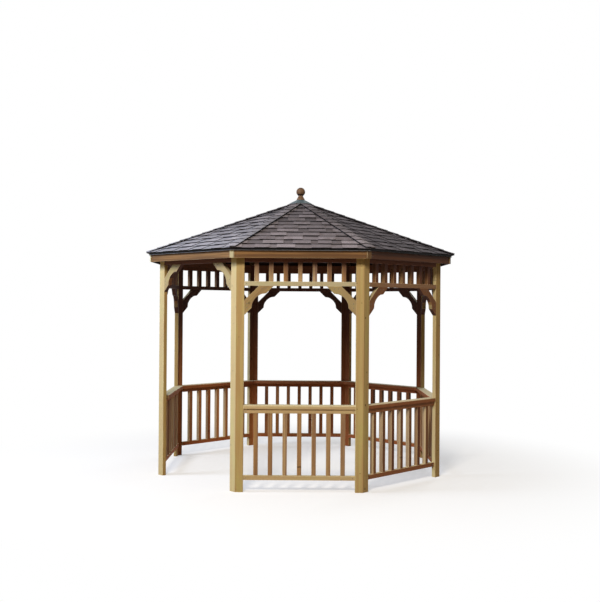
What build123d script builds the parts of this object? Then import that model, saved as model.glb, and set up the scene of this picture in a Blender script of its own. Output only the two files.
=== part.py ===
from build123d import *
from math import asin, atan, cos, radians, sin, sqrt, tan
import os

# Garden gazebo: an open eight-sided timber frame under a shingled pyramid roof.
# Millimetres. The origin is on the ground at the centre, +Z is up and the entrance bay faces -Y.

os.makedirs("parts", exist_ok=True)

# ---- Plan ---------------------------------------------------------------
wall_apothem = 1317.5        # centre to the outer face of every bay
bay_count = 8
entrance = "front"
bays = {
    "front": -90,
    "front_right": -45,
    "right": 0,
    "back_right": 45,
    "back": 90,
    "back_left": 135,
    "left": 180,
    "front_left": -135,
}

# ---- Walls --------------------------------------------------------------
stock = 38                   # thickness of the posts, rails, headers, balusters and rafters
post_wing = 68               # each wing of a post, along the outer face of its bay
post_arris = 3
plate_top = 2051             # top of the posts and of the headers
header_depth = 89
frieze_height = 166          # clear height of the short balusters, rail to header
rail_height = 38             # height of the frieze rail, the sub-rail and the bottom rail
bottom_rail_bottom = 101
handrail_top = 740
handrail_thickness = 32
handrail_width = 89
handrail_arris = 4
baluster_width = 38
baluster_count = 7

# ---- Corner braces ------------------------------------------------------
brace_leg = 250              # reach along the post and along the rail
brace_width = 89             # board width, at 45 degrees
brace_nib = 63               # drop of the square-sawn nib at each end
brace_shoulder = 37          # length of the short shoulder beside the nib
brace_shoulder_fall = 5
brace_bite = 100             # how near the scallop comes to the post and to the rail

# ---- Roof frame ---------------------------------------------------------
roof_pitch = 21.2            # degrees
heel_height = 53             # plate up to the underside of the deck, at the outer wall face
rafter_depth = 70
hip_depth = 75
hip_tail_proud = 2           # beyond the corner of the fascia
king_margin = 8              # the king block's faces stand this far out from where the hips would meet
king_drop = 25               # below the hip rafters
king_chamfer = 8
rafter_nose_width = 21       # blunt inner end of a common rafter, between its two cheek cuts
fascia_thickness = 19
fascia_drop = 59             # below the plate
fascia_overhang = 83         # wall face to the outer face of the fascia

# ---- Roof covering ------------------------------------------------------
eave_projection = 39.5       # outer face of the fascia to the edge of the shingles
deck_thickness = 12
panel_joint = 2              # open joint between neighbouring panels, on each hip
shingle_butt = 10            # thickness of a course at its lower edge
shingle_head = 4.5           # and where the next course covers it
course_count = 13
hip_cap_width = 100
hip_cap_butt = 10
hip_cap_head = 6
hip_cap_joint = 1
hip_cap_margin = 12          # of the top hip cap, beyond the apex cap
metal_gauge = 2
drip_flange = 45
drip_face = 17
drip_hem = 6                 # kicked out at 45 degrees
shingle_overhang = 30        # beyond the face of the drip edge
crown_hole = 22              # radius left open round the finial's stem

# ---- Apex ---------------------------------------------------------------
apex_cap_apothem = 112
apex_cap_flat = 40
apex_cap_pitch = 28.8        # degrees, steeper than the roof
finial_base = 81
finial_neck = 47
finial_ball = 88
finial_plinth = 8
finial_flare = 38            # base up to the neck
finial_stem = 20
stem_depth = 60              # inside the king block
fit_gap = 0.3

# ---- Worked out from the sizes above ------------------------------------
half_bay = 180 / bay_count
half_angle = radians(half_bay)
bay_width = 2 * wall_apothem * tan(half_angle)
clear_width = bay_width - 2 * post_wing
corner_radius = wall_apothem / cos(half_angle)
header_bottom = plate_top - header_depth
frieze_rail_top = header_bottom - frieze_height
frieze_rail_bottom = frieze_rail_top - rail_height
handrail_bottom = handrail_top - handrail_thickness
subrail_bottom = handrail_bottom - rail_height
bottom_rail_top = bottom_rail_bottom + rail_height
baluster_gap = (clear_width - baluster_count * baluster_width) / (baluster_count + 1)
baluster_pitch = baluster_gap + baluster_width

fascia_apothem = wall_apothem + fascia_overhang
eave_apothem = fascia_apothem + eave_projection
king_apothem = stock / 2 / tan(half_angle) + king_margin
rafter_nose = (rafter_nose_width / 2 + stock / 2 / cos(half_angle)) / tan(half_angle)

pitch = radians(roof_pitch)
roof_slope = tan(pitch)
hip_slope = roof_slope * cos(half_angle)
hip_angle = atan(hip_slope)
deck_apex = plate_top + heel_height + wall_apothem * roof_slope
deck_apothem = eave_apothem - shingle_overhang - metal_gauge
shingle_lift = deck_thickness + shingle_butt
cap_lift = shingle_lift + hip_cap_butt + fit_gap
cap_slope = tan(radians(apex_cap_pitch))
cap_gauge = metal_gauge / cos(radians(apex_cap_pitch))


def save(piece, name):
    """Label a finished piece and write it to its own file."""
    piece.part.label = name
    export_step(piece.part, f"parts/{name}.step")


def bay_plane(angle):
    """Outer face of the bay at this angle: x along the bay, y up from the ground, z outward."""
    outward = Vector(cos(radians(angle)), sin(radians(angle)), 0)
    return Plane(origin=outward * wall_apothem, x_dir=(-outward.Y, outward.X, 0), z_dir=outward)


def level_plane(angle, height=0):
    """Level plane at this height whose x axis points out at this angle."""
    return Plane(
        origin=(0, 0, height),
        x_dir=(cos(radians(angle)), sin(radians(angle)), 0),
        z_dir=(0, 0, 1),
    )


def side_plane(side, inset=0):
    """Upright plane half a bay to one side of +X, moved inward by the inset, facing away from +X."""
    away = Vector(-sin(half_angle), side * cos(half_angle), 0)
    return Plane(origin=away * -inset, z_dir=away)


def trim_sides(inset):
    """Cut the piece being built to one eighth of the plan, less the inset on both sides."""
    for side in (-1, 1):
        split(bisect_by=side_plane(side, inset), keep=Keep.BOTTOM)


def cut_crown(radius):
    """Open the peak of a roof layer to this radius."""
    with BuildSketch(Plane.XY.offset(plate_top)) as crown:
        Circle(radius)
    extrude(crown.sketch, amount=deck_apex, mode=Mode.SUBTRACT)


def roof_height(apothem, lift=0):
    """Height of the plane that lies the lift above the underside of the deck, square to it."""
    return deck_apex + lift / cos(pitch) - apothem * roof_slope


def cap_height(apothem):
    """Height of the inside of the apex cap, whose lower edge bears on the hip caps."""
    return roof_height(apex_cap_apothem, cap_lift) + (apex_cap_apothem - apothem) * cap_slope


def down_slope(apothem, lift):
    """Distance down the slope from the peak to this apothem, in the plane at this lift."""
    return (apothem - lift * sin(pitch)) / cos(pitch)


# ---- Posts: two wings in one folded section, one along each bay ----------
def make_post(angle):
    wing = (-sin(half_angle) * post_wing, cos(half_angle) * post_wing)
    inward = (-cos(half_angle) * stock, -sin(half_angle) * stock)
    wing_tip = (corner_radius + wing[0], wing[1])
    with BuildPart() as post:
        with BuildSketch(level_plane(angle)):
            with BuildLine():
                Polyline(
                    (corner_radius, 0),
                    wing_tip,
                    (wing_tip[0] + inward[0], wing_tip[1] + inward[1]),
                    (corner_radius - stock / cos(half_angle), 0),
                )
                mirror(about=Plane.XZ)
            make_face()
        extrude(amount=plate_top)
        upright_edges = post.edges().filter_by(Axis.Z)
        fillet(upright_edges.sort_by_distance((0, 0, 0))[-1], post_arris)
    return post


for number in range(1, bay_count + 1):
    post_angle = bays[entrance] + (2 * number - 1) * half_bay
    save(make_post(post_angle), f"post_{number}")


# ---- Railings: sub-rail, balusters and bottom rail of one bay ------------
def make_railing(angle):
    with BuildPart() as railing:
        with BuildSketch(bay_plane(angle)):
            with Locations((0, bottom_rail_bottom), (0, subrail_bottom)):
                Rectangle(clear_width, rail_height, align=(Align.CENTER, Align.MIN))
            with Locations((0, bottom_rail_top)):
                with GridLocations(baluster_pitch, 0, baluster_count, 1):
                    Rectangle(
                        baluster_width,
                        subrail_bottom - bottom_rail_top,
                        align=(Align.CENTER, Align.MIN),
                    )
        extrude(amount=-stock)
    return railing


# ---- Handrail cap: notched round the posts, mitred to its neighbours -----
def make_handrail(angle):
    post_inside = wall_apothem - stock
    rail_inside = wall_apothem - handrail_width
    along_bay = Axis((0, 0, 0), bay_plane(angle).x_dir)
    with BuildPart() as handrail:
        with BuildSketch(level_plane(angle, handrail_bottom)):
            with BuildLine():
                Polyline(
                    (rail_inside, 0),
                    (rail_inside, rail_inside * tan(half_angle)),
                    (post_inside, post_inside * tan(half_angle)),
                    (post_inside, clear_width / 2),
                    (wall_apothem, clear_width / 2),
                    (wall_apothem, 0),
                )
                mirror(about=Plane.XZ)
            make_face()
        extrude(amount=handrail_thickness)
        top_edges = handrail.edges().filter_by(along_bay).group_by(Axis.Z)[-1]
        chamfer(top_edges.sort_by(SortBy.LENGTH)[-2:], handrail_arris)
    return handrail


# ---- Friezes: a rail and short balusters under the header ----------------
def make_frieze(angle):
    with BuildPart() as frieze:
        with BuildSketch(bay_plane(angle)):
            with Locations((0, frieze_rail_bottom)):
                Rectangle(clear_width, rail_height, align=(Align.CENTER, Align.MIN))
            with Locations((0, frieze_rail_top)):
                with GridLocations(baluster_pitch, 0, baluster_count, 1):
                    Rectangle(
                        baluster_width,
                        header_bottom - frieze_rail_top,
                        align=(Align.CENTER, Align.MIN),
                    )
        extrude(amount=-stock)
    return frieze


for bay, bay_angle in bays.items():
    if bay != entrance:
        save(make_railing(bay_angle), f"railing_{bay}")
        save(make_handrail(bay_angle), f"handrail_{bay}")
        save(make_frieze(bay_angle), f"frieze_{bay}")


# ---- Header beams: one on edge between each pair of posts ----------------
with BuildPart() as header_beams:
    for bay_angle in bays.values():
        with BuildSketch(bay_plane(bay_angle)):
            with Locations((0, header_bottom)):
                Rectangle(clear_width, header_depth, align=(Align.CENTER, Align.MIN))
        extrude(amount=-stock)
save(header_beams, "header_beams")


# ---- Corner braces: scalloped boards at 45 degrees, two in each bay ------
with BuildPart() as corner_braces:
    seat = brace_leg - brace_width * sqrt(2)
    nib = brace_leg - brace_nib
    shoulder = nib - brace_shoulder
    shoulder_drop = brace_nib + brace_shoulder_fall
    for bay, bay_angle in bays.items():
        underside = header_bottom if bay == entrance else frieze_rail_bottom
        corner = Vector(clear_width / 2, underside)
        rail_shoulder = corner - Vector(shoulder, shoulder_drop)
        post_shoulder = corner - Vector(shoulder_drop, shoulder)
        with BuildSketch(bay_plane(bay_angle)):
            with BuildLine():
                Polyline(
                    rail_shoulder,
                    corner - Vector(nib, brace_nib),
                    corner - Vector(brace_leg, 0),
                    corner - Vector(seat, 0),
                    corner - Vector(0, seat),
                    corner - Vector(0, brace_leg),
                    corner - Vector(brace_nib, nib),
                    post_shoulder,
                )
                ThreePointArc(post_shoulder, corner - Vector(brace_bite, brace_bite), rail_shoulder)
            make_face()
            mirror(about=Plane.YZ)
        extrude(amount=-stock)
save(corner_braces, "corner_braces")


# ---- King block: the hips meet its faces and the finial's stem enters it -
king_corner = king_apothem / cos(half_angle)
king_top = roof_height(king_corner)
king_bottom = deck_apex - hip_slope * king_apothem - hip_depth / cos(hip_angle) - king_drop
with BuildPart() as king_block:
    with BuildSketch(Plane.XY.offset(king_bottom)):
        RegularPolygon(king_corner, bay_count)
    extrude(amount=king_top - king_bottom)
    chamfer(king_block.edges().group_by(Axis.Z)[0], king_chamfer)
    with Locations((0, 0, king_top)):
        Hole(finial_stem / 2 + fit_gap, depth=stem_depth)
save(king_block, "king_block")


# ---- Hip rafters: bird's-mouth on the post, backing bevels on top --------
with BuildPart() as hip_rafter:
    tail = fascia_apothem / cos(half_angle) + hip_tail_proud
    ridge_inner = deck_apex - hip_slope * king_apothem
    ridge_tail = deck_apex - hip_slope * tail
    plumb_depth = hip_depth / cos(hip_angle)
    heel_bottom = deck_apex - hip_slope * corner_radius - plumb_depth
    seat_inner = corner_radius - (plate_top - heel_bottom) / hip_slope
    with BuildSketch(Plane.XZ):
        with BuildLine():
            Polyline(
                (king_apothem, ridge_inner),
                (tail, ridge_tail),
                (tail, ridge_tail - plumb_depth),
                (corner_radius, heel_bottom),
                (corner_radius, plate_top),
                (seat_inner, plate_top),
                (king_apothem, ridge_inner - plumb_depth),
                close=True,
            )
        make_face()
    extrude(amount=stock / 2, both=True)
    for side in (-1, 1):
        bevel_normal = (sin(pitch) * cos(half_angle), side * sin(pitch) * sin(half_angle), cos(pitch))
        split(bisect_by=Plane(origin=(0, 0, deck_apex), z_dir=bevel_normal), keep=Keep.BOTTOM)

with BuildPart() as hip_rafters:
    with PolarLocations(0, bay_count, start_angle=half_bay):
        add(hip_rafter.part)
save(hip_rafters, "hip_rafters")


# ---- Common rafters: one up the middle of each bay, cheek-cut to the hips -
with BuildPart() as common_rafter:
    rafter_tail = fascia_apothem - fascia_thickness
    rafter_plumb = rafter_depth / cos(pitch)
    rafter_heel = roof_height(wall_apothem) - rafter_plumb
    rafter_seat = wall_apothem - (plate_top - rafter_heel) / roof_slope
    with BuildSketch(Plane.XZ):
        with BuildLine():
            Polyline(
                (rafter_nose, roof_height(rafter_nose)),
                (rafter_tail, roof_height(rafter_tail)),
                (rafter_tail, roof_height(rafter_tail) - rafter_plumb),
                (wall_apothem, rafter_heel),
                (wall_apothem, plate_top),
                (rafter_seat, plate_top),
                (rafter_nose, roof_height(rafter_nose) - rafter_plumb),
                close=True,
            )
        make_face()
    extrude(amount=stock / 2, both=True)
    trim_sides(stock / 2)

with BuildPart() as common_rafters:
    with PolarLocations(0, bay_count):
        add(common_rafter.part)
save(common_rafters, "common_rafters")


# ---- Fascia boards: cut in between the tails of the hip rafters ----------
with BuildPart() as fascia_board:
    with BuildSketch(Plane.XZ):
        with BuildLine():
            Polyline(
                (rafter_tail, plate_top - fascia_drop),
                (fascia_apothem, plate_top - fascia_drop),
                (fascia_apothem, roof_height(fascia_apothem)),
                (rafter_tail, roof_height(rafter_tail)),
                close=True,
            )
        make_face()
    extrude(amount=eave_apothem, both=True)
    trim_sides(stock / 2)

with BuildPart() as fascia_boards:
    with PolarLocations(0, bay_count):
        add(fascia_board.part)
save(fascia_boards, "fascia_boards")


# ---- Roof deck: a sheathing panel over each bay --------------------------
with BuildPart() as deck_panel:
    with BuildSketch(Plane.XZ):
        with BuildLine():
            Polyline(
                (0, deck_apex),
                (deck_apothem, roof_height(deck_apothem)),
                (deck_apothem, roof_height(deck_apothem, deck_thickness)),
                (0, roof_height(0, deck_thickness)),
                close=True,
            )
        make_face()
    extrude(amount=eave_apothem, both=True)
    trim_sides(panel_joint / 2)
    cut_crown(crown_hole)

with BuildPart() as roof_deck:
    with PolarLocations(0, bay_count):
        add(deck_panel.part)
save(roof_deck, "roof_deck")


# ---- Drip edge: folded metal, its flange on the deck under the shingles --
with BuildPart() as drip_length:
    drip_apothem = eave_apothem - shingle_overhang
    flange_inner = drip_apothem - drip_flange
    drip_bottom = roof_height(drip_apothem, deck_thickness) - drip_face
    with BuildSketch(Plane.XZ):
        with BuildLine():
            Polyline(
                (flange_inner, roof_height(flange_inner, deck_thickness)),
                (deck_apothem, roof_height(deck_apothem, deck_thickness)),
                (deck_apothem, drip_bottom + drip_hem),
                (deck_apothem + drip_hem, drip_bottom),
                (drip_apothem + drip_hem, drip_bottom),
                (drip_apothem, drip_bottom + drip_hem),
                (drip_apothem, roof_height(drip_apothem, deck_thickness + metal_gauge)),
                (flange_inner, roof_height(flange_inner, deck_thickness + metal_gauge)),
                close=True,
            )
        make_face()
    extrude(amount=eave_apothem, both=True)
    trim_sides(hip_cap_joint / 2)

with BuildPart() as drip_edge:
    with PolarLocations(0, bay_count):
        add(drip_length.part)
save(drip_edge, "drip_edge")


# ---- Shingle fields: thirteen lapped courses on each panel ---------------
with BuildPart() as shingle_field:
    eave_run = down_slope(eave_apothem, shingle_lift)
    exposure = eave_run / course_count
    slope_plane = Plane(origin=(0, 0, deck_apex), x_dir=(cos(pitch), 0, -sin(pitch)), z_dir=(0, -1, 0))
    flange_top = deck_thickness + metal_gauge
    courses = []
    for course in range(course_count):
        lower_edge = eave_run - course * exposure
        courses.append((lower_edge, shingle_lift))
        courses.append((lower_edge - exposure, deck_thickness + shingle_head))
    with BuildSketch(slope_plane):
        with BuildLine():
            Polyline(
                (0, deck_thickness),
                (down_slope(flange_inner, deck_thickness), deck_thickness),
                (down_slope(flange_inner, flange_top), flange_top),
                (down_slope(eave_apothem, flange_top), flange_top),
                *courses,
                close=True,
            )
        make_face()
    extrude(amount=eave_apothem, both=True)
    trim_sides(panel_joint / 2)
    cut_crown(crown_hole)

with BuildPart() as shingle_fields:
    with PolarLocations(0, bay_count):
        add(shingle_field.part)
save(shingle_fields, "shingle_fields")


# ---- Hip caps: folded shingles lapped up each hip ------------------------
# The top one is of full thickness, and the lower edge of the apex cap bears on it.
hip_fall = asin(sin(pitch) * sin(half_angle))
hip_line = Vector(cos(hip_angle), 0, -sin(hip_angle))
hip_apex = Vector(0, 0, deck_apex + shingle_lift / cos(pitch))
hip_run = eave_apothem / cos(half_angle) / cos(hip_angle)


def hip_section(distance, thickness):
    """Folded section of a hip cap, square to the hip, at this distance from the peak."""
    half_width = hip_cap_width / 2 * cos(hip_fall)
    edge_fall = -half_width * tan(hip_fall)
    station = Plane(origin=hip_apex + hip_line * distance, x_dir=(0, 1, 0), z_dir=hip_line)
    with BuildSketch(station) as section:
        with BuildLine():
            Polyline(
                (0, 0),
                (half_width, edge_fall),
                (half_width, edge_fall + thickness),
                (0, thickness),
            )
            mirror(about=Plane.YZ)
        make_face()
    return section.sketch


with BuildPart() as hip_cap:
    top_cap = apex_cap_apothem / cos(half_angle) / cos(hip_angle) + hip_cap_margin
    lapped_caps = round((hip_run - top_cap) / exposure)
    cap_exposure = (hip_run - top_cap) / lapped_caps
    for course in range(lapped_caps):
        lower_end = hip_run - course * cap_exposure
        upper_end = lower_end - cap_exposure
        loft([hip_section(lower_end, hip_cap_butt), hip_section(upper_end, hip_cap_head)], ruled=True)
    extrude(hip_section(top_cap, hip_cap_butt), amount=-top_cap)
    with BuildSketch(Plane.XY.offset(plate_top)):
        RegularPolygon(eave_apothem, bay_count, major_radius=False)
    extrude(amount=deck_apex, mode=Mode.INTERSECT)
    trim_sides(hip_cap_joint / 2)
    cut_crown(apex_cap_flat / cos(half_angle))

with BuildPart() as hip_caps:
    with PolarLocations(0, bay_count, start_angle=half_bay):
        add(hip_cap.part)
save(hip_caps, "hip_caps")


# ---- Apex cap: a sheet-metal pyramid with a flat for the finial ----------
with BuildPart() as cap_side:
    crown_top = cap_height(apex_cap_flat) + cap_gauge
    with BuildSketch(Plane.XZ):
        with BuildLine():
            Polyline(
                (0, crown_top),
                (apex_cap_flat, crown_top),
                (apex_cap_apothem, cap_height(apex_cap_apothem) + cap_gauge),
                (apex_cap_apothem, cap_height(apex_cap_apothem)),
                (apex_cap_flat, cap_height(apex_cap_flat)),
                (0, cap_height(apex_cap_flat)),
                close=True,
            )
        make_face()
    extrude(amount=apex_cap_apothem, both=True)
    trim_sides(0)

with BuildPart() as apex_cap:
    with PolarLocations(0, bay_count):
        add(cap_side.part)
    with Locations((0, 0, crown_top)):
        Hole(finial_stem / 2 + fit_gap)
save(apex_cap, "apex_cap")


# ---- Finial: a turned base, cone, neck and ball on a stem ----------------
with BuildPart() as finial:
    base_radius = finial_base / 2
    neck_radius = finial_neck / 2
    ball_radius = finial_ball / 2
    stem_end = king_top - stem_depth
    neck_height = crown_top + finial_flare
    ball_centre = neck_height + ball_radius
    ball_top = ball_centre + ball_radius
    ball_seat = ball_centre - sqrt(ball_radius**2 - neck_radius**2)
    with BuildSketch(Plane.XZ):
        with BuildLine():
            Polyline(
                (0, stem_end),
                (finial_stem / 2, stem_end),
                (finial_stem / 2, crown_top),
                (base_radius, crown_top),
                (base_radius, crown_top + finial_plinth),
                (neck_radius, neck_height),
                (neck_radius, ball_seat),
            )
            ThreePointArc((neck_radius, ball_seat), (ball_radius, ball_centre), (0, ball_top))
            Line((0, ball_top), (0, stem_end))
        make_face()
    revolve(axis=Axis.Z)
save(finial, "finial")
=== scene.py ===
import bmesh
import bpy
import random
from math import atan2, cos, degrees, pi, radians, sin, sqrt, tan
from mathutils import Matrix, Vector


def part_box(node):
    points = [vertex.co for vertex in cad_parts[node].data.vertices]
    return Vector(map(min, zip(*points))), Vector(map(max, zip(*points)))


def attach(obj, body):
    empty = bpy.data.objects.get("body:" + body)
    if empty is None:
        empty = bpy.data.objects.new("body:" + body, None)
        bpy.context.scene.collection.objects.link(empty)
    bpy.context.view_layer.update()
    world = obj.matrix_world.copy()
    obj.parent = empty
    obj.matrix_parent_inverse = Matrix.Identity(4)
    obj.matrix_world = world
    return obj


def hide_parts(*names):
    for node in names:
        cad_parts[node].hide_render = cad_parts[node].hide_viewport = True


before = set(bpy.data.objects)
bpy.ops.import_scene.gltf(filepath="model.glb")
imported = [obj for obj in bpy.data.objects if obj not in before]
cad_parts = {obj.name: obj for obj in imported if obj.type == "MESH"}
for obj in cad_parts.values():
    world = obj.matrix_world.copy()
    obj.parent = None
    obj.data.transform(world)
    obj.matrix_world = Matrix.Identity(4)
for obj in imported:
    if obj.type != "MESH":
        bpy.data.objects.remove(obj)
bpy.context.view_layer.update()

# ---- Camera: at eye height, square to the bay beside the entrance ---------
# It stands about nine metres back and is held very nearly level.
camera_side = radians(44.93)
camera_distance = 8.934
camera_height = 1.578
camera_tilt = radians(0.398)
camera_roll = radians(0.398)
camera = bpy.data.objects.new("camera", bpy.data.cameras.new("camera"))
bpy.context.scene.collection.objects.link(camera)
stand = Vector((sin(camera_side), -cos(camera_side), 0)) * camera_distance
level_look = Matrix.Rotation(camera_side, 4, "Z") @ Matrix.Rotation(radians(90), 4, "X")
tilt = Matrix.Rotation(camera_tilt, 4, "X") @ Matrix.Rotation(camera_roll, 4, "Z")
camera.matrix_world = Matrix.Translation(stand + Vector((0, 0, camera_height))) @ level_look @ tilt
camera.data.sensor_width = 36
camera.data.lens = 53.44
bpy.context.scene.camera = camera
bpy.context.scene.view_settings.view_transform = "Standard"


# ---- Studio: a pale floor and three soft lights ---------------------------
# A warm light stands beside the camera, a cool one to its left and a faint one behind the gazebo.
# The floor is matt and runs into a white surround, so only the soft shadow shows on it.
def linear(code):
    """A colour written as an sRGB hex value, in linear light."""
    parts = [int(code[i:i + 2], 16) / 255 for i in (1, 3, 5)]
    return [p / 12.92 if p <= 0.04045 else ((p + 0.055) / 1.055) ** 2.4 for p in parts] + [1]


def feed(tree, node, inputs):
    """Give a node its inputs: a value, a socket to read, or a node whose first output is read."""
    for socket, value in inputs.items():
        if isinstance(value, bpy.types.Node):
            value = value.outputs[0]
        if isinstance(value, bpy.types.NodeSocket):
            tree.links.new(value, node.inputs[socket])
        else:
            node.inputs[socket].default_value = value


def add(tree, kind, inputs=None, **settings):
    """Add one node with its settings, its values and its links.

    Inputs go by name or by number. In MixRGB, 0 is how much and 1 and 2 are the colours. In
    MapRange, 1 and 2 are the range that is read, and 3 and 4 the one that it becomes, 0 to 1 if unsaid.
    """
    made = tree.nodes.new("ShaderNode" + kind)
    for name, value in settings.items():
        setattr(made, name, value)
    feed(tree, made, inputs or {})
    return made


def new_finish(name):
    """A new material with its nodes: the material, its tree and its shader."""
    material = bpy.data.materials.new(name)
    material.use_nodes = True
    return material, material.node_tree, material.node_tree.nodes["Principled BSDF"]


def seen_white(tree):
    """1 for what the camera sees straight, or in metal or glass, and 0 for what lights the gazebo."""
    rays = add(tree, "LightPath").outputs
    seen = rays["Is Camera Ray"]
    for ray in ("Is Glossy Ray", "Is Transmission Ray"):
        seen = add(tree, "Math", {0: seen, 1: rays[ray]}, operation="MAXIMUM").outputs[0]
    return seen


surround = bpy.data.worlds.new("white surround")
bpy.context.scene.world = surround
surround.use_nodes = True
sky = surround.node_tree
sky.nodes.clear()
seen = seen_white(sky)
ambient = add(sky, "Background", {"Color": linear("#F8F5F0"), "Strength": 0.08})
backdrop = add(sky, "Background", {"Color": (1, 1, 1, 1), "Strength": 1})
blend = add(sky, "MixShader", {0: seen, 1: ambient, 2: backdrop})
add(sky, "OutputWorld", {0: blend})

floor_reach = 30
floor_corners = [(x * floor_reach, y * floor_reach, 0) for x, y in ((-1, -1), (1, -1), (1, 1), (-1, 1))]
floor_mesh = bpy.data.meshes.new("studio_floor")
floor_mesh.from_pydata(floor_corners, [], [(0, 1, 2, 3)])
studio_floor = bpy.data.objects.new("studio_floor", floor_mesh)
bpy.context.scene.collection.objects.link(studio_floor)
matt_white, tree, shader = new_finish("Matt white floor")
feed(tree, shader, {"Base Color": linear("#F6F6F5"), "Roughness": 0.9, "Specular IOR Level": 0.1})
seen = seen_white(tree)
place = add(tree, "TexCoord")
reach = add(tree, "VectorMath", {0: place.outputs["Object"]}, operation="LENGTH").outputs["Value"]
# Nearly half of it is plain white under the gazebo, and all of it 3.6 m out, past the shadow.
far = add(tree, "MapRange", {0: reach, 1: 1.2, 2: 3.6, 3: 0.45}, interpolation_type="SMOOTHSTEP")
white = add(tree, "Emission", {"Color": (1, 1, 1, 1), "Strength": 1})
fade = add(tree, "MixShader", {0: far, 1: shader, 2: white})
# The light that bounces up under the roof is as warm and as dim as it is off sandy paving.
paving = add(tree, "BsdfDiffuse", {"Color": linear("#B09670")})
ground = add(tree, "MixShader", {0: seen, 1: paving, 2: fade})
feed(tree, tree.nodes["Material Output"], {"Surface": ground})
floor_mesh.materials.append(matt_white)

aim = Vector((0, 0, 1.2))
# Each lamp's place, width in metres, power in watts and colour.
lamps = {
    "softbox_left": ((-3.7, -6.2, 5.0), 2.4, 480, "#DCE8FF"),
    "softbox_front": ((5.0, -7.8, 7.2), 2.2, 1050, "#FFF3E2"),
    "softbox_back": ((-1.5, 8.0, 6.0), 3.0, 260, "#F4F6FF"),
}
for lamp, (spot, width, power, colour) in lamps.items():
    light = bpy.data.objects.new(lamp, bpy.data.lights.new(lamp, "AREA"))
    light.data.size = width
    light.data.energy = power
    light.data.color = linear(colour)[:3]
    light.location = spot
    light.rotation_euler = (aim - Vector(spot)).to_track_quat("-Z", "Y").to_euler()
    bpy.context.scene.collection.objects.link(light)

# ---- Posts: eight folded uprights, each two boards joined at the corner ---
# Planed softwood, pressure treated, with eased arrises. The wings lie in the planes of the
# two bays that meet there, so a rail butts square against each.
same_point = 1e-6
flush_angle = radians(0.5)
arris_angle = radians(25)
# Light, sun and rain come from the front and a little to the left. Above 1.6 m the boards' edges get painted
# shade.
under_eaves = 1.6
light_and_weather_side = Vector((cos(radians(-115)), sin(radians(-115)), 0))


def solids(node):
    """The separate solids of a CAD node, each with its flat faces whole."""
    whole = bmesh.new()
    whole.from_mesh(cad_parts[node].data)
    bmesh.ops.remove_doubles(whole, verts=whole.verts, dist=same_point)
    bmesh.ops.dissolve_limit(whole, angle_limit=flush_angle, verts=whole.verts, edges=whole.edges)
    left = set(whole.faces)
    found = []
    for first in whole.faces:
        if first not in left:
            continue
        left.remove(first)
        reached = [first]
        for face in reached:
            for edge in face.edges:
                for other in edge.link_faces:
                    if other in left:
                        left.remove(other)
                        reached.append(other)
        found.append([[v.co.copy() for v in face.verts] for face in reached])
    whole.free()
    return found


def light_and_weathering(face):
    """From 1 on faces towards the light and weather to -0.5 on those turned from them, and -1 on faces in
    full painted shade.
    """
    centre = face.calc_center_median()
    facing_out = face.normal.dot(Vector((centre.x, centre.y, 0)).normalized())
    # Inner faces and undersides get full painted shade, and tops take all the light and weather there is.
    if facing_out < -0.6 or face.normal.z < -0.5:
        return -1.0
    if face.normal.z > 0.6:
        return 1.0
    # The edges of the boards under the eaves get part painted shade, whichever way they face.
    most = -0.1 if centre.z > under_eaves and facing_out < 0.5 else 1.0
    return max(-0.5, min(most, face.normal.dot(light_and_weather_side)))


def placed(name, mesh):
    """Stand a finished mesh in its place, as a piece of the gazebo's one body."""
    piece = bpy.data.objects.new(name, mesh)
    bpy.context.scene.collection.objects.link(piece)
    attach(piece, "root")
    return piece


def mark_faces(mesh, marks):
    """Write the marks that the materials read, one value a face under each name."""
    for mark, values in marks.items():
        mesh.attributes.new(mark, "FLOAT", "FACE").data.foreach_set("value", values)


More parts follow.
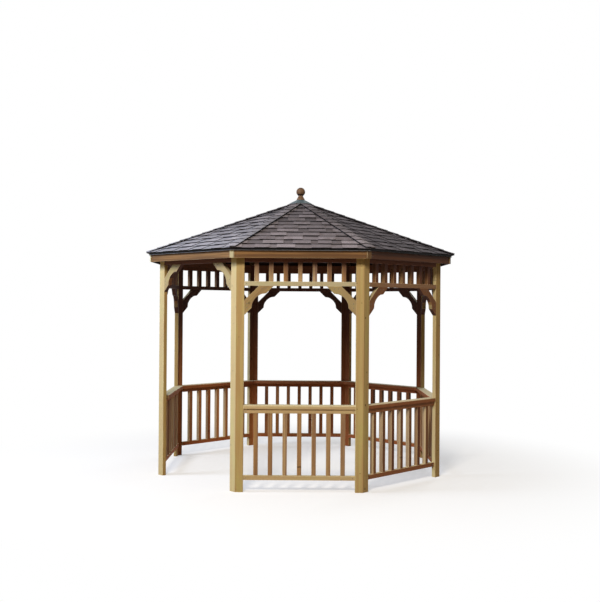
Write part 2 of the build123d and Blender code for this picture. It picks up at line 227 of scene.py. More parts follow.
def timber_piece(name, boards, material, arris, seed, smooth=None, shade_cover=0):
    """Join boards into one piece, each with eased arrises and its own grain, tone and end grain.

    With a shade cover, every face is painted that far into shade, whichever way it looks.
    """
    draw = random.Random(seed)
    points, faces, grain = [], [], []
    marks = {"tone": [], "end_grain": [], "weather_and_light": [], "eased": []}
    for board in boards:
        solid = bmesh.new()
        for loop in board:
            solid.faces.new([solid.verts.new(point) for point in loop])
        bmesh.ops.remove_doubles(solid, verts=solid.verts, dist=same_point)
        bmesh.ops.recalc_face_normals(solid, faces=solid.faces)
        # The grain follows the longest edge, and the board's broad face shows it flat-sawn.
        longest = max(solid.edges, key=lambda edge: edge.calc_length())
        along = (longest.verts[1].co - longest.verts[0].co).normalized()
        sides = [face for face in solid.faces if abs(face.normal.dot(along)) < 0.3]
        broad = max(sides, key=lambda face: face.calc_area()).normal.copy()
        through = (broad - along * broad.dot(along)).normalized()
        across = through.cross(along)
        sharp = [edge for edge in solid.edges if edge.calc_face_angle(0) > arris_angle]
        bevelled = bmesh.ops.bevel(solid, geom=sharp, offset=arris, segments=2, profile=0.6, affect="EDGES")
        rounded = set(bevelled["faces"])
        middle = sum((vert.co for vert in solid.verts), Vector()) / len(solid.verts)
        # Each board is cut from its own place along, across and out from the pith.
        shift = Vector((draw.uniform(0, 40), draw.uniform(-0.12, 0.12), draw.uniform(0.02, 0.12)))
        board_tone = draw.random()
        start = len(points)
        solid.verts.index_update()
        for vert in solid.verts:
            reach = vert.co - middle
            points.append(vert.co.copy())
            grain.append(Vector((reach.dot(along), reach.dot(across), reach.dot(through))) + shift)
        for face in solid.faces:
            faces.append([start + vert.index for vert in face.verts])
            marks["tone"].append(board_tone)
            marks["end_grain"].append(1.0 if abs(face.normal.dot(along)) > 0.6 else 0.0)
            marks["weather_and_light"].append(-shade_cover if shade_cover else light_and_weathering(face))
            marks["eased"].append(float(face in rounded))
        solid.free()
    mesh = bpy.data.meshes.new(name)
    mesh.from_pydata(points, [], faces)
    flat_grain = [value for place in grain for value in place]
    mesh.attributes.new("grain", "FLOAT_VECTOR", "POINT").data.foreach_set("vector", flat_grain)
    mark_faces(mesh, marks)
    mesh.materials.append(material)
    if smooth:
        mesh.shade_smooth()
        mesh.set_sharp_from_angle(angle=smooth)
    return placed(name, mesh)


def softwood(name, pale, warm, heart, knot, knot_spacing=0.16, knot_size=0.0065, streak=1.0,
             bleached_and_lit=0.4, low="#E8A488", shaded_side_tint="#FFFFFF", green=0.0, roofed=0.0):
    """Treated softwood: long streaks, growth rings, knots, a darker end grain and worn arrises.

    Streaks run from pale to warm, and a board leans towards heart. Sheltered faces get painted shade,
    tinted low near the ground, and faces turned from the light get a painted shade tint. The rest are
    the knots' spacing and size in metres, and how strong the streaks, the bleaching with its painted
    highlight on the lit side, the copper's green and the painted shade under the roof are.
    """
    material, tree, shader = new_finish(name)
    grain = add(tree, "Attribute", attribute_name="grain").outputs["Vector"]
    tone = add(tree, "Attribute", attribute_name="tone").outputs["Fac"]
    end_grain = add(tree, "Attribute", attribute_name="end_grain").outputs["Fac"]
    weather_and_light = add(tree, "Attribute", attribute_name="weather_and_light").outputs["Fac"]
    eased = add(tree, "Attribute", attribute_name="eased").outputs["Fac"]
    # Streaks of sapwood and heartwood, about 22 mm wide and 0.9 m long.
    long = add(tree, "VectorMath", {0: grain, 1: (1.1, 45, 45)}, operation="MULTIPLY")
    streaks = add(tree, "TexNoise", {"Vector": long, "Scale": 1, "Detail": 3, "Roughness": 0.6})
    bands = add(tree, "MapRange", {0: streaks, 1: 0.36, 2: 0.66, 4: streak})
    body = add(tree, "MixRGB", {0: bands, 1: linear(pale), 2: linear(warm)})
    # The whole board leans towards the redder heart by a different amount.
    lean = add(tree, "MixRGB", {0: tone, 1: (1, 1, 1, 1), 2: linear(heart)})
    body = add(tree, "MixRGB", {0: 1, 1: body, 2: lean}, blend_type="MULTIPLY")
    # Copper in the preservative leaves faint green patches, about 60 mm wide and 0.3 m long.
    copper = add(tree, "VectorMath", {0: grain, 1: (3.2, 16, 16)}, operation="MULTIPLY")
    stain = add(tree, "TexNoise", {"Vector": copper, "Scale": 1, "Detail": 2})
    patches = add(tree, "MapRange", {0: stain, 1: 0.48, 2: 0.7, 4: green})
    body = add(tree, "MixRGB", {0: patches, 1: body, 2: linear("#A3A45E")})
    # Growth rings 6 mm apart round a pith near the board, drawn out along it.
    drawn = add(tree, "VectorMath", {0: grain, 1: (0.05, 1, 1)}, operation="MULTIPLY")
    waver = {"Vector": drawn, "Scale": 52, "Distortion": 2.2, "Detail": 2, "Detail Scale": 0.35}
    rings = add(tree, "TexWave", waver, wave_type="RINGS", rings_direction="X", wave_profile="SAW")
    late = add(tree, "MapRange", {0: rings.outputs["Fac"], 1: 0.55, 2: 1, 4: 0.3})
    body = add(tree, "MixRGB", {0: late, 1: body, 2: linear(knot)})
    # Knots of uneven outline, most of them 5 to 16 mm across, in about half of the cells.
    flat = add(tree, "VectorMath", {0: grain, 1: (0.75, 1, 0)}, operation="MULTIPLY")
    uneven = add(tree, "TexNoise", {"Vector": grain, "Scale": 90, "Detail": 2})
    pushed = add(tree, "VectorMath", {0: uneven.outputs["Color"], "Scale": 0.009}, operation="SCALE")
    flat = add(tree, "VectorMath", {0: flat, 1: pushed})
    cell = {"Vector": flat, "Scale": 1 / knot_spacing, "Randomness": 1}
    cells = add(tree, "TexVoronoi", cell, voronoi_dimensions="2D")
    pick = add(tree, "SeparateColor", {0: cells.outputs["Color"]})
    small = add(tree, "MapRange", {0: pick.outputs[1], 3: 0.8, 4: 2.6})
    out_from = add(tree, "Math", {0: cells.outputs["Distance"], 1: small}, operation="MULTIPLY")
    core = knot_size * 0.5 / knot_spacing
    rim = knot_size * 1.5 / knot_spacing
    near = add(tree, "MapRange", {0: out_from, 1: core, 2: rim, 3: 1, 4: 0})
    chosen = add(tree, "Math", {0: pick, 1: 0.45}, operation="GREATER_THAN")
    knots = add(tree, "Math", {0: near, 1: chosen}, operation="MULTIPLY")
    knots = add(tree, "Math", {0: knots, 1: 0.85}, operation="MULTIPLY")
    body = add(tree, "MixRGB", {0: knots, 1: body, 2: linear(knot)})
    # Sawn ends drink the treatment and go darker.
    dark = add(tree, "Math", {0: end_grain, 1: 0.35}, operation="MULTIPLY")
    body = add(tree, "MixRGB", {0: dark, 1: body, 2: linear(warm)}, blend_type="MULTIPLY")
    # Sun and rain bleach the weather side to straw, and this also paints the lit side lighter.
    bleach_and_highlight = add(tree, "MapRange", {0: weather_and_light, 1: 0.3, 2: 1, 4: bleached_and_lit})
    body = add(tree, "MixRGB", {0: bleach_and_highlight, 1: body, 2: linear("#DCDAB4")})
    # The eased arrises are rubbed paler, in broken lengths of about 0.3 m.
    rubbed = add(tree, "MapRange", {0: stain, 1: 0.4, 2: 0.6, 3: 0.1, 4: 0.5})
    worn = add(tree, "Math", {0: eased, 1: rubbed}, operation="MULTIPLY")
    body = add(tree, "MixRGB", {0: worn, 1: body, 2: linear("#F0E2BC")})
    # Faces turned from the light are painted redder and darker, as shade.
    turned = add(tree, "MapRange", {0: weather_and_light, 1: 0.2, 2: -0.3})
    shaded_side_body = add(tree, "MixRGB", {0: turned, 1: body, 2: linear(shaded_side_tint)}, blend_type="MULTIPLY")
    # Sheltered faces get painted shade in dark red, all the more so from half a metre up to 1.6 m,
    # and so do the tops of some timbers, close under the roof.
    place = add(tree, "SeparateXYZ", {0: add(tree, "TexCoord").outputs["Object"]})
    height = place.outputs["Z"]
    rise = add(tree, "MapRange", {0: height, 1: 0.5, 2: 1.6}, interpolation_type="SMOOTHSTEP")
    shade_tint = add(tree, "MixRGB", {0: rise, 1: linear(low), 2: linear("#74484A")})
    shaded_body = add(tree, "MixRGB", {0: 1, 1: body, 2: shade_tint}, blend_type="MULTIPLY")
    shade = add(tree, "MapRange", {0: weather_and_light, 1: -0.5, 2: -1})
    eaves = add(tree, "MapRange", {0: height, 1: 1.82, 2: 1.95, 4: roofed})
    shade = add(tree, "Math", {0: shade, 1: eaves}, operation="MAXIMUM")
    body = add(tree, "MixRGB", {0: shade, 1: shaded_side_body, 2: shaded_body})
    # Planed fibres give the surface its broken, low sheen. Real ones are too fine to show, so
    # these are drawn a millimetre wide.
    fine = add(tree, "VectorMath", {0: grain, 1: (9, 900, 900)}, operation="MULTIPLY")
    fibres = add(tree, "TexNoise", {"Vector": fine, "Scale": 1, "Detail": 2})
    gloss = add(tree, "MapRange", {0: fibres, 3: 0.62, 4: 0.82})
    relief = add(tree, "Math", {0: rings.outputs["Fac"], 1: fibres}, operation="ADD")
    raised = add(tree, "Bump", {"Strength": 0.35, "Distance": 0.0006, "Height": relief})
    feed(tree, shader, {"Base Color": body, "Roughness": gloss, "Normal": raised})
    feed(tree, shader, {"Specular IOR Level": 0.3})
    return material


# Copper treatment turns pale sapwood to a green straw, with many small knots.
post_timber = softwood("Planed treated softwood", "#AF9E69", "#A58B5C", "#F2E2D0", "#46381E",
                       knot_spacing=0.11, streak=1.6, low="#F0AE98", green=0.35)
for number in range(1, 9):
    node = f"post_{number}"
    post = timber_piece(f"timber_{node}", solids(node), post_timber, arris=0.002, seed=number)
    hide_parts(node)

# ---- Header beams: a board on edge between each pair of posts -------------
# Sawn softwood, skew screwed to the posts at the plate. They carry the rafters' heels, and their
# faces are painted in the dark red of the shade under the eaves.
# It took up less copper than the posts, so it is paler and less green.
rail_timber = softwood("Sawn treated softwood", "#BFB089", "#B09A74", "#EBD2BC", "#4E3A20",
                       shaded_side_tint="#C89C8C", green=0.2)
beams = solids("header_beams")
header = timber_piece("timber_header_beams", beams, rail_timber, arris=0.0015, seed=20, shade_cover=0.9)
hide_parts("header_beams")

# ---- Friezes and railings: square balusters between level rails -----------
# Softwood balusters of the same section as the rails, nailed between them with even gaps. The
# balusters are cut from redder heartwood, and the frieze rails are the most bleached.
bays = {
    "front_right": -45,
    "right": 0,
    "back_right": 45,
    "back": 90,
    "back_left": 135,
    "left": 180,
    "front_left": -135,
}
stock = 0.038
baluster_count = 7
wall_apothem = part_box("railing_right")[1].x
railing_setback = 0.014
baluster_setback = 0.004
clear_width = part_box("railing_right")[1].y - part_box("railing_right")[0].y
baluster_gap = (clear_width - baluster_count * stock) / (baluster_count + 1)


def bay_direction(angle):
    """Outward direction of the bay at this angle, and the level direction along it."""
    outward = Vector((cos(radians(angle)), sin(radians(angle)), 0))
    return outward, Vector((-outward.y, outward.x, 0))


def squared_board(centre, along, across, size):
    """A board whose length, width and thickness lie along, across and square to both."""
    directions = (along.normalized(), across.normalized(), along.cross(across).normalized())
    sides = []
    for axis in range(3):
        for side in (-1, 1):
            ring = [(side, -1, -1), (side, 1, -1), (side, 1, 1), (side, -1, 1)]
            loop = []
            for turned in ring[::side]:
                signs = turned[-axis:] + turned[:-axis]
                reach = [d * sign * s / 2 for d, sign, s in zip(directions, signs, size)]
                loop.append(centre + reach[0] + reach[1] + reach[2])
            sides.append(loop)
    return sides


def upright_boards(angle, bottom, top, setback):
    """The balusters of one bay between these heights."""
    outward, along = bay_direction(angle)
    boards = []
    for number in range(baluster_count):
        offset = (number - (baluster_count - 1) / 2) * (baluster_gap + stock)
        centre = outward * (wall_apothem - setback - stock / 2) + along * offset
        centre.z = (bottom + top) / 2
        boards.append(squared_board(centre, Vector((0, 0, 1)), along, (top - bottom, stock, stock)))
    return boards


def level_board(angle, bottom, setback):
    """A rail of square stock across one bay at this height."""
    outward, along = bay_direction(angle)
    centre = outward * (wall_apothem - setback - stock / 2) + Vector((0, 0, bottom + stock / 2))
    return squared_board(centre, along, outward, (clear_width, stock, stock))


frieze_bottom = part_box("frieze_right")[0].z
frieze_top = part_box("frieze_right")[1].z
railing_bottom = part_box("railing_right")[0].z
railing_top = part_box("railing_right")[1].z
# The frieze balusters' tops, close under the header, get painted shade in dark red.
baluster_timber = softwood("Treated redwood", "#BEAA80", "#8C7260", "#C09A74", "#46290F",
                           knot_spacing=0.2, bleached_and_lit=0.1, low="#FFCEAC", shaded_side_tint="#B08C70", roofed=0.85)
pale_timber = softwood("Bleached sawn softwood", "#B8B8A1", "#ADA78B", "#EFE4D8", "#54422A",
                       shaded_side_tint="#D0A8A0", green=0.4)
for order, (bay, angle) in enumerate(bays.items()):
    level = [level_board(angle, frieze_bottom, 0)]
    rail = timber_piece(f"timber_frieze_rail_{bay}", level, pale_timber, arris=0.002, seed=30 + order)
    uprights = upright_boards(angle, frieze_bottom + stock, frieze_top, baluster_setback)
    name = f"timber_frieze_balusters_{bay}"
    balusters = timber_piece(name, uprights, baluster_timber, arris=0.002, seed=40 + order)
    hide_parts(f"frieze_{bay}")
    level = [level_board(angle, height, railing_setback) for height in (railing_bottom, railing_top - stock)]
    rails = timber_piece(f"timber_rails_{bay}", level, rail_timber, arris=0.002, seed=50 + order)
    setback = railing_setback + baluster_setback
    uprights = upright_boards(angle, railing_bottom + stock, railing_top - stock, setback)
    name = f"timber_balusters_{bay}"
    balusters = timber_piece(name, uprights, baluster_timber, arris=0.002, seed=60 + order)
    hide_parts(f"railing_{bay}")

# ---- Handrails: a wide cap on each railing, notched round the posts -------
# Softwood, treated with the rails, with eased arrises, and mitred to the next one behind the post.
for order, bay in enumerate(bays):
    cap = solids(f"handrail_{bay}")
    handrail = timber_piece(f"timber_handrail_{bay}", cap, rail_timber, arris=0.0015, seed=70 + order)
    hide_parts(f"handrail_{bay}")

# ---- Corner braces: scalloped boards between the rail and the posts -------
# Band-sawn from softwood board, the grain running along the brace at 45 degrees. Treated with the
# posts and a little greyer, and their tops close under the eaves are painted darker as shade.
brace_timber = softwood("Band-sawn softwood", "#9A8D68", "#917E5B", "#F0E0CE", "#4E4024",
                        bleached_and_lit=0.15, shaded_side_tint="#C4988C", green=0.3, roofed=0.3)
brackets = solids("corner_braces")
braces = timber_piece("timber_corner_braces", brackets, brace_timber, arris=0.0015, seed=80)
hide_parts("corner_braces")

# ---- Roof frame: king block, hip rafters and common rafters ---------------
# Sawn softwood. The hips meet on the block's faces and bear on the posts, and their plumb tails
# show between the fascia boards. Its colour is painted dark as the shade under the roof, and faces
# towards the light, such as the tails' ends, are painted paler.
roof_timber = softwood("Sawn roof softwood", "#766448", "#624A2E", "#F0DCC6", "#3E2C1A", bleached_and_lit=0.8)
for order, node in enumerate(("king_block", "hip_rafters", "common_rafters")):
    rafters = timber_piece(f"timber_{node}", solids(node), roof_timber, arris=0.0015, seed=90 + order)
    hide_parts(node)

# ---- Fascia boards: one along each eave ----------------------------------
# Planed softwood of a warmer colour, cut in between the tails of the hip rafters. Its streaks
# are bold and its knots few, as in clear boards picked to be seen.
fascia_timber = softwood("Planed fascia softwood", "#836842", "#624A2C", "#E2C09A", "#4A2C18",
                         knot_spacing=0.3, streak=1.8, bleached_and_lit=0, shaded_side_tint="#B09088")
eave_boards = solids("fascia_boards")
fascia = timber_piece("timber_fascia_boards", eave_boards, fascia_timber, arris=0.0015, seed=100)
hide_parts("fascia_boards")

# ---- Fixings: screws in the braces and rails, nails in the fascia ---------
# Zinc-plated steel gone dull. The screws are 8 mm across the head with a dished recess, two at each
# end of a brace and one at each end of a rail, and the nails are 5 mm across.
screw_radius = 0.004
nail_radius = 0.0025
head_facets = 10
# Each ring of a head: its share of the radius, and how many millimetres it stands proud of the face.
head_profile = ((1, -1.0), (1, 0.3), (0.85, 0.6), (0.5, 0.6), (0.15, 0.1))
# How far in from the post and down from the rail each of a brace's screws is.
brace_screws = ((0.022, 0.15), (0.022, 0.185), (0.15, 0.022), (0.185, 0.022))
rail_end_margin = 0.02
nail_end_margin = 0.025
nail_rises = (0.018, 0.045)


def fixing_head(spot, outward, radius):
    """One head with a bevelled rim and a recess, let a millimetre into the face at this spot."""
    level = outward.cross(Vector((0, 0, 1))).normalized()
    upward = level.cross(outward)
    turns = [2 * pi * step / head_facets for step in range(head_facets)]
    rings = []
    for reach, proud in head_profile:
        centre = spot + outward * proud * 0.001
        rings.append([centre + (level * cos(turn) + upward * sin(turn)) * radius * reach for turn in turns])
    loops = [rings[0], rings[-1]]
    for lower_ring, upper_ring in zip(rings, rings[1:]):
        for step in range(head_facets):
            ahead = (step + 1) % head_facets
            loops.append([lower_ring[step], lower_ring[ahead], upper_ring[ahead], upper_ring[step]])
    return loops


def board_places(board):
    """The directions of the bay that a board lies in, with its points measured in them."""
    points = [point for loop in board for point in loop]
    middle = sum(points, Vector()) / len(points)
    outward, along = bay_direction(round(degrees(atan2(middle.y, middle.x)) / 45) * 45)
    return outward, along, [Vector((point.dot(along), point.dot(outward), point.z)) for point in points]


heads = []
for board in brackets:
    outward, along, places = board_places(board)
    side = 1 if sum(place.x for place in places) > 0 else -1
    post_face = max(abs(place.x) for place in places)
    outer_face = max(place.y for place in places)
    rail_face = max(place.z for place in places)
    for in_from_post, down_from_rail in brace_screws:
        spot = along * side * (post_face - in_from_post) + outward * outer_face
        spot += Vector((0, 0, rail_face - down_from_rail))
        heads.append(fixing_head(spot, outward, screw_radius))
rails_at = ((railing_bottom, railing_setback), (railing_top - stock, railing_setback), (frieze_bottom, 0))
for angle in bays.values():
    outward, along = bay_direction(angle)
    for height, setback in rails_at:
        for side in (-1, 1):
            spot = outward * (wall_apothem - setback) + along * side * (clear_width / 2 - rail_end_margin)
            heads.append(fixing_head(spot + Vector((0, 0, height + stock / 2)), outward, screw_radius))
for board in eave_boards:
    outward, along, places = board_places(board)
    outer_face = max(place.y for place in places)
    board_end = max(abs(place.x) for place in places if place.y > outer_face - 0.001)
    foot = min(place.z for place in places)
    for side in (-1, 1):
        for rise in nail_rises:
            spot = outward * outer_face + along * side * (board_end - nail_end_margin)
            heads.append(fixing_head(spot + Vector((0, 0, foot + rise)), outward, nail_radius))
joined = bmesh.new()
for head in heads:
    for loop in head:
        joined.faces.new([joined.verts.new(point) for point in loop])
bmesh.ops.remove_doubles(joined, verts=joined.verts, dist=same_point)
bmesh.ops.recalc_face_normals(joined, faces=joined.faces)
head_mesh = bpy.data.meshes.new("fixing_heads")
joined.to_mesh(head_mesh)
joined.free()
zinc, tree, shader = new_finish("Dull zinc-plated steel")
# A grey bloom in blotches 1.7 mm across takes the shine off the plating.
place = add(tree, "TexCoord").outputs["Object"]
bloomed = add(tree, "TexNoise", {"Vector": place, "Scale": 600, "Detail": 3})
dull = add(tree, "MixRGB", {0: bloomed, 1: linear("#4C4A45"), 2: linear("#85837C")})
sheen = add(tree, "MapRange", {0: bloomed, 3: 0.45, 4: 0.7})
feed(tree, shader, {"Base Color": dull, "Roughness": sheen, "Metallic": 0.8})
head_mesh.materials.append(zinc)
fixings = placed("fixing_heads", head_mesh)

# ---- Roof deck: a sheathing panel over each bay ---------------------------
# Softwood plywood with its rotary-cut face down, nailed to the rafters. Its knots are cut wide.
plywood = softwood("Softwood plywood", "#5C4E3A", "#4A3824", "#E8D0B4", "#302014",
                   knot_spacing=0.25, knot_size=0.009, streak=0.8)
deck = timber_piece("plywood_deck", solids("roof_deck"), plywood, arris=0.0005, seed=110)
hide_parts("roof_deck")

# ---- Drip edge: folded metal under the shingles --------------------------
# Steel strip with a black polyester coating. Its flange lies on the deck under the first course,
# its face hangs clear of the fascia, and its hem is kicked out to throw the water clear.
bay_angles = [-90] + list(bays.values())
pitch = radians(21.2)
half_angle = radians(22.5)
heel = 0.053
deck_thickness = 0.012
gauge = 0.002
hem = 0.006
flange = 0.043
mitre_gap = 0.0005
face_drop = 0.009
deck_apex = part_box("post_1")[1].z + heel + wall_apothem * tan(pitch)
drip_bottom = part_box("drip_edge")[0].z - face_drop
hem_top = drip_bottom + hem
deck_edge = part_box("roof_deck")[1].x
face_inside = deck_edge + gauge
face_outside = face_inside + gauge
flange_inside = deck_edge - flange


def deck_height(apothem, lift):
    """Height of the roof surface at this distance from the axis, lifted square off the deck's underside."""
    return deck_apex - apothem * tan(pitch) + lift / cos(pitch)


drip_section = [
    (flange_inside, deck_height(flange_inside, deck_thickness)),
    (face_inside, deck_height(face_inside, deck_thickness)),
    (face_inside, hem_top),
    (face_inside + hem, drip_bottom),
    (face_outside + hem, drip_bottom),
    (face_outside, hem_top),
    (face_outside, deck_height(face_outside, deck_thickness + gauge)),
    (flange_inside, deck_height(flange_inside, deck_thickness + gauge)),
]
drip = bmesh.new()
for angle in bay_angles:
    outward, level = bay_direction(angle)
    ends = []
    for side in (-1, 1):
        end = []
        for apothem, height in drip_section:
            reach = side * (apothem * tan(half_angle) - mitre_gap)
            end.append(drip.verts.new(outward * apothem + level * reach + Vector((0, 0, height))))
        ends.append(end)
    drip.faces.new(ends[0])
    drip.faces.new(ends[1][::-1])
    for i in range(len(drip_section)):
        j = (i + 1) % len(drip_section)
        drip.faces.new([ends[0][j], ends[0][i], ends[1][i], ends[1][j]])
bmesh.ops.recalc_face_normals(drip, faces=drip.faces)
drip_mesh = bpy.data.meshes.new("folded_drip_edge")
drip.to_mesh(drip_mesh)
drip.free()
coated, tree, shader = new_finish("Black coated steel")
place = add(tree, "TexCoord").outputs["Object"]
# Dust and water marks, 60 mm long, dull the coating and turn it slightly brown.
water = add(tree, "TexNoise", {"Vector": place, "Scale": 16, "Detail": 4, "Roughness": 0.6})
dull = add(tree, "MapRange", {0: water, 1: 0.35, 2: 0.7})
coat = add(tree, "MixRGB", {0: dull, 1: linear("#0C0C0E"), 2: linear("#1B1819")})
# The hem is painted pale zinc grey as a painted highlight, and shows as a thin light line.
height = add(tree, "SeparateXYZ", {0: place}).outputs["Z"]
bare = add(tree, "MapRange", {0: height, 1: hem_top + 0.001, 2: hem_top - 0.001})
coat = add(tree, "MixRGB", {0: bare, 1: coat, 2: linear("#6E7278")})
sheen = add(tree, "MapRange", {0: water, 3: 0.5, 4: 0.7})
feed(tree, shader, {"Base Color": coat, "Roughness": sheen, "Specular IOR Level": 0.25})
drip_mesh.materials.append(coated)
drip_edge = placed("folded_drip_edge", drip_mesh)
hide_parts("drip_edge")

# ---- Shingles: thirteen courses of two-ply laminated tabs on each panel ---
# Bitumen shingles with mineral granules. Wide raised tabs alternate with cut-outs that show the
# ply below, and every cut edge is bare black bitumen.
course_count = 13
butt_lift = deck_thickness + 0.010
head_lift = deck_thickness + 0.0045
tab_ply = 0.004
tab_sunk = 0.0004
ply_foot = 0.0095
clear_of_flange = 0.0021
panel_joint = 0.001
course_lap = 0.012
tab_widths = (0.115, 0.19)
cut_out_widths = (0.06, 0.15)
most_offset = 0.12
least_tab = 0.012
ply_tones = (0.1, 0.6)
tab_tones = (0.3, 1)
past_the_hips = 2
# The eave is a hundredth of a millimetre inside the CAD's own, so that rounding can't carry it past.
eave_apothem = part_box("shingle_fields")[1].y - 0.00001
eave_run = (eave_apothem - butt_lift * sin(pitch)) / cos(pitch)
exposure = eave_run / course_count
crown_run = 0.03


def shingle_piece(name, bodies, material):
    """Join closed prisms into one piece. A body is (loops, tone, light and weather) and a loop (points, cut,
    rises).
    """
    points, faces, corner_rises = [], [], []
    marks = {"tone": [], "cut": [], "weather_and_light": []}
    for loops, shade, bleached_and_lit in bodies:
        for loop, bare, rises in loops:
            start = len(points)
            points.extend(loop)
            faces.append(list(range(start, start + len(loop))))
            marks["tone"].append(shade)
            marks["cut"].append(float(bare))
            marks["weather_and_light"].append(bleached_and_lit)
            corner_rises.extend(rises)
    mesh = bpy.data.meshes.new(name)
    mesh.from_pydata(points, [], faces)
    mark_faces(mesh, marks)
    mesh.attributes.new("rise", "FLOAT", "CORNER").data.foreach_set("value", corner_rises)
    joined = bmesh.new()
    joined.from_mesh(mesh)
    bmesh.ops.remove_doubles(joined, verts=joined.verts, dist=same_point)
    joined.to_mesh(mesh)
    joined.free()
    mesh.materials.append(material)
    return placed(name, mesh)


def prism(low, high, top):
    """The six faces of a prism between two four-cornered ends, at rises 0 and top up the course."""
    a, b, c, d = low
    e, f, g, h = high
    return [
        ([a, b, c, d], 1, (0, 0, 0, 0)),
        ([e, h, g, f], 1, (top, top, top, top)),
        ([a, e, f, b], 0, (0, top, top, 0)),
        ([d, c, g, h], 0, (0, 0, top, top)),
        ([a, d, h, e], 1, (0, 0, top, top)),
        ([b, f, g, c], 1, (0, top, top, 0)),
    ]


def course_surface(run, lower, drop):
    """Lift of a course's face at this run, the drop below the highest tab."""
    return butt_lift - (lower - run) / exposure * (butt_lift - head_lift) - drop


def slope_point(angle, run, lift, along):
    """A point of one roof slope: down from the peak, square off the deck's underside, and level along."""
    outward, level = bay_direction(angle)
    down = outward * cos(pitch) - Vector((0, 0, sin(pitch)))
    off = outward * sin(pitch) + Vector((0, 0, cos(pitch)))
    return Vector((0, 0, deck_apex)) + down * run + off * lift + level * along


def strip(angle, lower, upper, left, right, top_drop, bottom_drop):
    """A flat prism of shingle from its lower run to its upper one, trimmed to the hips."""
    ends = []
    for run in (lower, upper):
        face = course_surface(run, lower, top_drop)
        under = max(course_surface(run, lower, bottom_drop), deck_thickness + clear_of_flange)
        corner = []
        for side, lift in ((left, under), (right, under), (right, face), (left, face)):
            limit = (run * cos(pitch) + lift * sin(pitch)) * tan(half_angle) - panel_joint
            corner.append(slope_point(angle, run, lift, max(-limit, min(limit, side))))
        ends.append(corner)
    return prism(ends[0], ends[1], (lower - upper) / exposure)


draw = random.Random(7)
shingles = []
for angle in bay_angles:
    bleached_and_lit = bay_direction(angle)[0].dot(light_and_weather_side)
    for course in range(course_count):
        lower = eave_run - course * exposure
        upper = max(lower - exposure - course_lap, crown_run)
        ply = strip(angle, lower, upper, -past_the_hips, past_the_hips, tab_ply, ply_foot)
        shingles.append((ply, draw.uniform(*ply_tones), bleached_and_lit))
        hip_reach = lower * cos(pitch) * tan(half_angle)
        edge = -hip_reach - draw.uniform(0, most_offset)
        while edge < hip_reach:
            width = draw.uniform(*tab_widths)
            if edge + width > -hip_reach + least_tab and edge < hip_reach - least_tab:
                tab = strip(angle, lower, upper, edge, edge + width, 0, tab_ply + tab_sunk)
                shingles.append((tab, draw.uniform(*tab_tones), bleached_and_lit))
            edge += width + draw.uniform(*cut_out_widths)

granules, tree, shader = new_finish("Granule-faced bitumen shingle")
place = add(tree, "TexCoord").outputs["Object"]
tone = add(tree, "Attribute", attribute_name="tone").outputs["Fac"]
cut = add(tree, "Attribute", attribute_name="cut").outputs["Fac"]
weather_and_light = add(tree, "Attribute", attribute_name="weather_and_light").outputs["Fac"]
rise = add(tree, "Attribute", attribute_name="rise").outputs["Fac"]
body = add(tree, "MixRGB", {0: tone, 1: linear("#595457"), 2: linear("#A39BA0")})
# Granules of crushed stone, 1.2 mm across, some paler and some darker, make it matt and rough.
stones = add(tree, "TexVoronoi", {"Vector": place, "Scale": 830, "Randomness": 1})
pick = add(tree, "SeparateColor", {0: stones.outputs["Color"]})
speck = add(tree, "MapRange", {0: pick, 3: 0.62, 4: 1.35})
body = add(tree, "MixRGB", {0: 1, 1: body, 2: speck}, blend_type="MULTIPLY")
# Brown stone is blended in, in drifts about 70 mm wide.
drift = add(tree, "TexNoise", {"Vector": place, "Scale": 14, "Detail": 3, "Roughness": 0.6})
brown = add(tree, "MapRange", {0: drift, 1: 0.45, 2: 0.7, 4: 0.5})
body = add(tree, "MixRGB", {0: brown, 1: body, 2: linear("#645853")})
# The slopes facing the light are painted lighter and the others darker, as painted light and shade.
lit_slope = add(tree, "MapRange", {0: weather_and_light, 1: -1, 2: 1})
side = add(tree, "MixRGB", {0: lit_slope, 1: linear("#9A98A0"), 2: linear("#FFFFFF")})
body = add(tree, "MixRGB", {0: 1, 1: body, 2: side}, blend_type="MULTIPLY")
# The two slopes facing the light most get a painted pale blue sky reflection, most of it low down.
height = add(tree, "SeparateXYZ", {0: place}).outputs["Z"]
bloom = add(tree, "MapRange", {0: weather_and_light, 1: 0.75, 2: 1, 4: 0.8})
lower = add(tree, "MapRange", {0: height, 1: 2.12, 2: 2.55, 3: 1, 4: 0.15})
bloom = add(tree, "Math", {0: bloom, 1: lower}, operation="MULTIPLY")
body = add(tree, "MixRGB", {0: bloom, 1: body, 2: linear("#A2A8B6")})
# The courses are darker towards the peak than near the eave.
high = add(tree, "MapRange", {0: height, 1: 2.15, 2: 2.5, 3: 1, 4: 0.68})
body = add(tree, "MixRGB", {0: 1, 1: body, 2: high}, blend_type="MULTIPLY")
# Slopes turned from the light get painted shade, deepening towards the eave.
shaded_slope = add(tree, "MapRange", {0: weather_and_light, 1: 0.2, 2: -0.4})
shaded_eave = add(tree, "MapRange", {0: height, 1: 2.1, 2: 2.42, 3: 0.55, 4: 1})
shaded_eave = add(tree, "MixRGB", {0: shaded_slope, 1: (1, 1, 1, 1), 2: shaded_eave})
body = add(tree, "MixRGB", {0: 1, 1: body, 2: shaded_eave}, blend_type="MULTIPLY")
# A band of black granules under each row of tabs is laid there to look like a deep shadow.
band = add(tree, "MapRange", {0: rise, 1: 0.84, 2: 0.9, 4: 0.9}, interpolation_type="SMOOTHSTEP")
body = add(tree, "MixRGB", {0: band, 1: body, 2: linear("#121012")})
body = add(tree, "MixRGB", {0: cut, 1: body, 2: linear("#0D0B0C")})
rough = add(tree, "Bump", {"Strength": 0.6, "Distance": 0.0008, "Height": stones.outputs["Distance"]})
feed(tree, shader, {"Base Color": body, "Roughness": 0.92, "Specular IOR Level": 0.15, "Normal": rough})

roof = shingle_piece("laminated_shingles", shingles, granules)
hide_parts("shingle_fields")
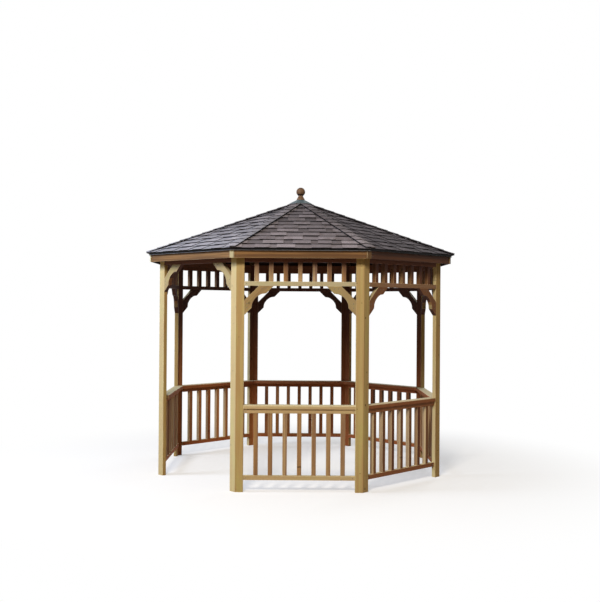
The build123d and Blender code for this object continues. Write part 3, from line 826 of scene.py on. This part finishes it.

# ---- Hip caps: single shingles folded over each hip and lapped upwards ----
# The same granule-faced bitumen. Their long cut edges draw a thin black line beside each hip. On every
# other slope it is widened by a painted shadow, a black strip along the caps' edge on that side.
cap_width = 0.100
cap_butt = 0.010
cap_head = 0.006
cap_ply = 0.006
cap_lap = 0.006
cap_sole = 0.0002
apex_cap_apothem = 0.112
apex_cap_lap = 0.012
peak_run = 0.09
trim_margin = 0.0002
cap_tones = (0.2, 0.9)
hip_slope = tan(pitch) * cos(half_angle)
hip_length = eave_apothem / cos(half_angle)
hip_down = Vector((1, 0, -hip_slope)).normalized()
hip_run = hip_length * sqrt(1 + hip_slope ** 2)
top_cap = apex_cap_apothem * sqrt(1 + hip_slope ** 2) / cos(half_angle) + apex_cap_lap
cap_count = round((hip_run - top_cap) / exposure)
cap_exposure = (hip_run - top_cap) / cap_count
side_fall = sin(pitch) * sin(half_angle)
half_cap = cap_width / 2 * sqrt(1 - side_fall ** 2)
edge_fall = half_cap * side_fall / sqrt(1 - side_fall ** 2)
hip_up = Vector((hip_slope, 0, 1)).normalized()
hip_peak = Vector((0, 0, deck_apex + butt_lift / cos(pitch)))
# A cap's outline runs along its underside over these parts of its width and back over its face.
cap_parts = (-1, -0.86, -0.12, 0.12, 0.86, 1)
first_edge = len(cap_parts) - 1
first_border = first_edge + 1
last_edge = 2 * len(cap_parts) - 1
last_border = last_edge - 1


def cap_section(run, under, over):
    """Folded section of a cap at this run down the hip, as its outline from one edge to the other."""
    upper, lower = [], []
    for part in cap_parts:
        fall = abs(part) * edge_fall
        base = hip_peak + hip_down * run + Vector((0, 1, 0)) * part * half_cap
        upper.append(base + hip_up * (over - fall))
        lower.append(base + hip_up * (under - fall))
    return lower + upper[::-1]


caps = []
for corner in range(8):
    turn = Matrix.Rotation(radians(22.5 + 45 * corner), 3, "Z")
    bleached_and_lit = max(bay_direction(45 * corner + side)[0].dot(light_and_weather_side) for side in (0, 45))
    # The edges are the caps' cut bitumen, and the border strip beside one of them is a painted shadow.
    edges_and_shadow_strips = (first_edge, last_border if corner % 2 else first_border, last_edge)
    for course in range(cap_count + 1):
        low_run = hip_run - course * cap_exposure
        high_run = low_run - cap_exposure - cap_lap
        head = cap_head
        if course == cap_count:
            high_run = peak_run
            head = cap_butt
        low = [turn @ point for point in cap_section(low_run, cap_butt - cap_ply, cap_butt)]
        high = [turn @ point for point in cap_section(high_run, cap_sole, head)]
        count = len(low)
        loops = [(low[::-1], 1, [0] * count), (high, 1, [1] * count)]
        for i in range(count):
            j = (i + 1) % count
            loops.append(([low[i], low[j], high[j], high[i]], i in edges_and_shadow_strips, (0, 0, 1, 1)))
        caps.append((loops, draw.uniform(*cap_tones), bleached_and_lit))
ridge = shingle_piece("folded_hip_caps", caps, granules)
# The lowest caps are trimmed in line with the eave.
trim = bmesh.new()
trim.from_mesh(ridge.data)
for angle in bay_angles:
    outward = bay_direction(angle)[0]
    whole = trim.verts[:] + trim.edges[:] + trim.faces[:]
    eave_line = outward * (eave_apothem - trim_margin)
    sliced = bmesh.ops.bisect_plane(trim, geom=whole, plane_co=eave_line, plane_no=outward, clear_outer=True)
    rim = [item for item in sliced["geom_cut"] if isinstance(item, bmesh.types.BMEdge)]
    bmesh.ops.holes_fill(trim, edges=rim)
bmesh.ops.recalc_face_normals(trim, faces=trim.faces)
trim.to_mesh(ridge.data)
trim.free()
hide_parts("hip_caps")

# ---- Apex cap: a sheet-metal pyramid over the top of the hip caps ---------
# Lead sheet dressed over the eight slopes, grey with a blue-green bloom that hides most of its metal.
lead, tree, shader = new_finish("Dressed lead sheet")
place = add(tree, "TexCoord").outputs["Object"]
# Patches of bloom about 40 mm across, and the dents of the dresser, 15 mm across.
bloom = add(tree, "TexNoise", {"Vector": place, "Scale": 25, "Detail": 4, "Roughness": 0.65})
patch = add(tree, "MapRange", {0: bloom, 1: 0.35, 2: 0.68})
skin = add(tree, "MixRGB", {0: patch, 1: linear("#39454A"), 2: linear("#56666B")})
dull = add(tree, "MapRange", {0: bloom, 3: 0.45, 4: 0.7})
dents = add(tree, "TexNoise", {"Vector": place, "Scale": 65, "Detail": 1})
dressed = add(tree, "Bump", {"Strength": 0.4, "Distance": 0.001, "Height": dents})
feed(tree, shader, {"Base Color": skin, "Metallic": 0.3, "Roughness": dull, "Normal": dressed})
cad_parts["apex_cap"].material_slots[0].material = lead

# ---- Finial: a turned ball on a flared base -------------------------------
# Softwood turned on the lathe and stained brown, its grain upright and its surface smooth.
finial_timber = softwood("Turned stained softwood", "#74604A", "#583C28", "#E6CFB8", "#2C1A0E",
                         knot_spacing=0.3, bleached_and_lit=0)
ball = solids("finial")
finial = timber_piece("turned_finial", ball, finial_timber, arris=0.0004, seed=120, smooth=radians(28))
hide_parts("finial")
